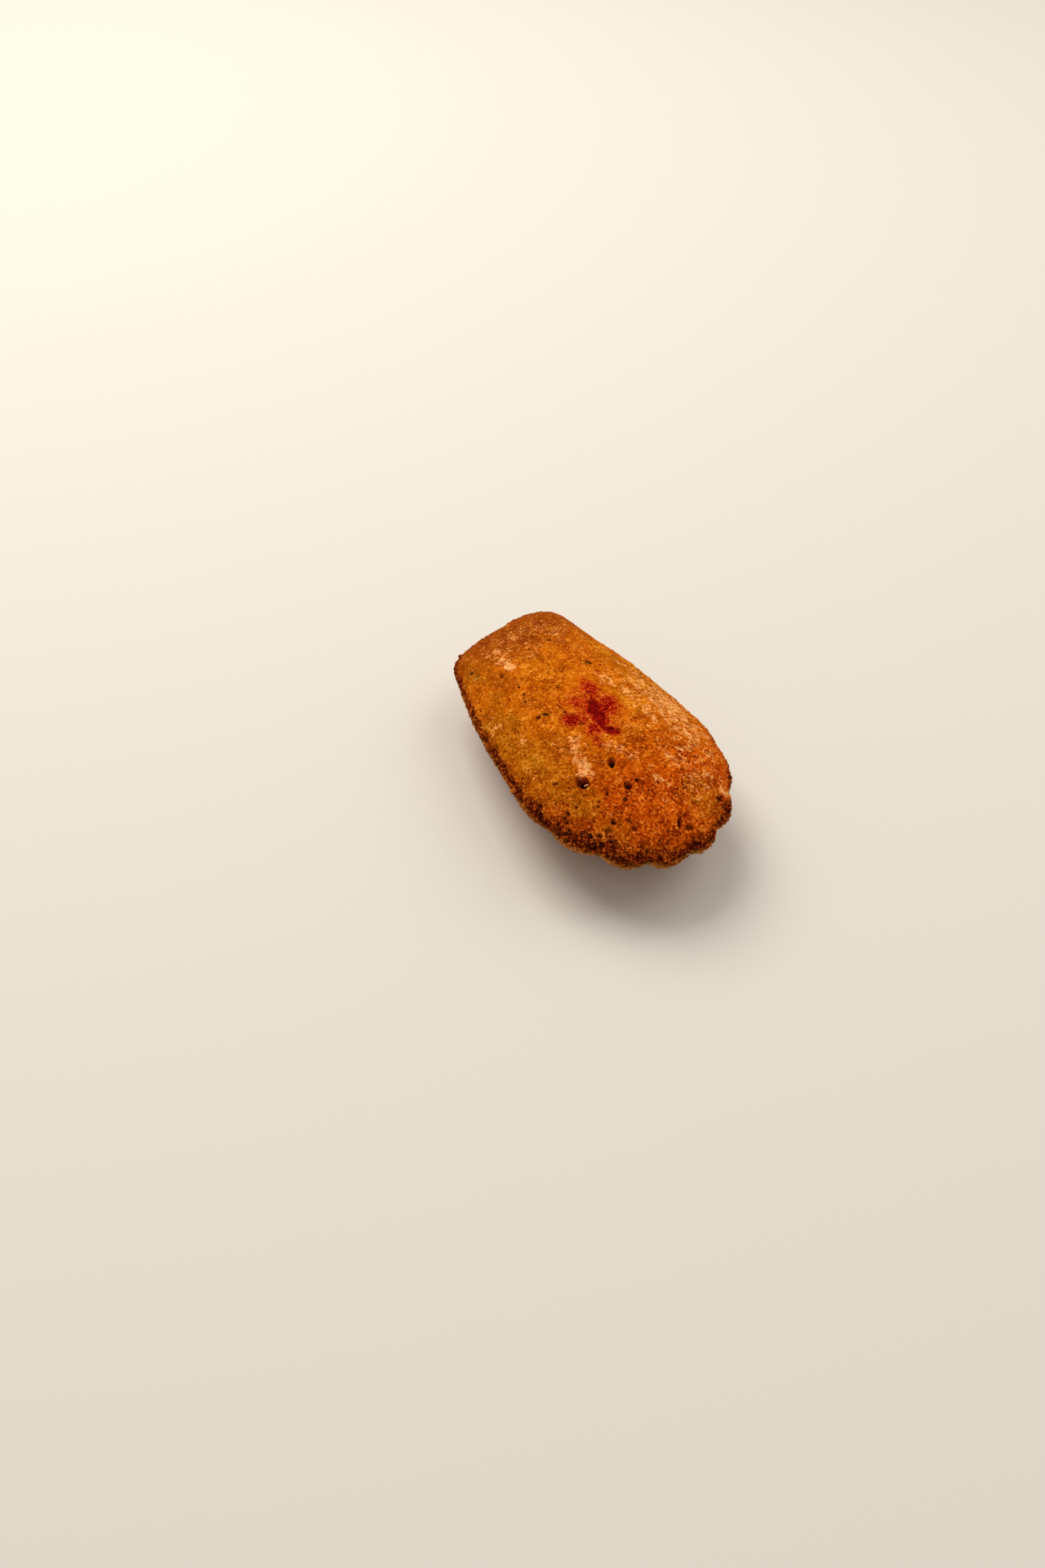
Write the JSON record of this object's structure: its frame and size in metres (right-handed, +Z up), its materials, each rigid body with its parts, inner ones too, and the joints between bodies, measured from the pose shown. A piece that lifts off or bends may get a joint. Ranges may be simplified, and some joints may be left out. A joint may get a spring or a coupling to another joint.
{
  "type": "madeleine cake",
  "caption": "Small sponge cake in the form of a scallop, lying on its ribbed belly, with a squarish narrow end, a scalloped wide end, a low browned crown and red jam in a slit.",
  "frame": {"origin": "on the table, under the middle of the cake's box", "axes": "+X along the cake, from its narrow hinge end to its wide scalloped end; +Z up, from the ribbed belly to the crown"},
  "size_m": [0.0804, 0.0456, 0.0256],
  "materials": {
    "golden_crumb": "matt baked sponge crust, golden orange, toasted brown round the rim",
    "red_jam": "glossy dark red jam"
  },
  "bodies": {
    "root": {"cake": "golden_crumb", "jam_filling": "red_jam"}
  },
  "joints": []
}
